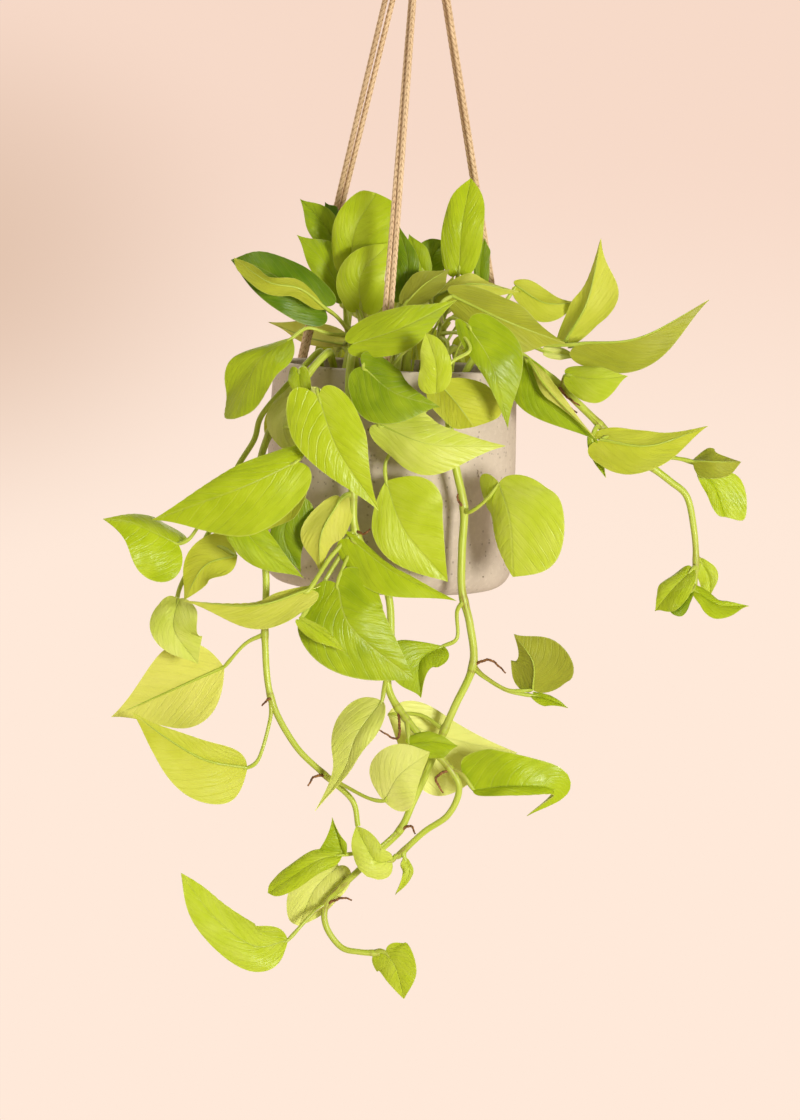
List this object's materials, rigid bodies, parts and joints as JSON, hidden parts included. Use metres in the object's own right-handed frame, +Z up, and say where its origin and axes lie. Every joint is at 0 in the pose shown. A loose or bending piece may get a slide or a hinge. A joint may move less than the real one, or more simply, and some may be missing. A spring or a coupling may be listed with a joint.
{
  "type": "potted pothos plant",
  "caption": "Trailing golden-green pothos in a round concrete pot, hung by paired ropes that gather in a bound neck below a steel ring.",
  "frame": {"origin": "inner top of the hanging ring, where a hook holds it", "axes": "+Z up, +Y away from the viewer of the picture, +X to the right; the pot's axis is 5.5 mm left of the ring's"},
  "size_m": [0.4245, 0.2874, 0.7837],
  "materials": {
    "pot": "matt, finely pitted concrete",
    "soil": "loose dark potting mix of bark and peat",
    "leafy_stem": "glossy golden-green leaves on satin stems",
    "rope": "braided natural fibre",
    "ring": "satin"
  },
  "bodies": {
    "root": {"pot": "pot", "soil": "soil", "left_vine": "leafy_stem", "left_hanging_stem": "leafy_stem", "front_stem": "leafy_stem", "centre_right_vine": "leafy_stem", "right_vine": "leafy_stem", "right_spray": "leafy_stem", "crown_right_front": "leafy_stem", "crown_front": "leafy_stem", "crown_front_left": "leafy_stem", "crown_middle": "leafy_stem", "crown_back_left": "leafy_stem", "crown_back_right": "leafy_stem", "back_left_stem": "leafy_stem", "back_middle_stem": "leafy_stem", "back_right_stem": "leafy_stem", "crown_back": "leafy_stem", "front_rope_strand_1": "rope", "front_rope_strand_2": "rope", "front_rope_stopper_knot": "rope", "right_rope_strand_1": "rope", "right_rope_strand_2": "rope", "right_rope_stopper_knot": "rope", "left_rope_strand_1": "rope", "left_rope_strand_2": "rope", "left_rope_stopper_knot": "rope", "neck_knot": "rope", "hanging_ring": "ring"}
  },
  "joints": []
}
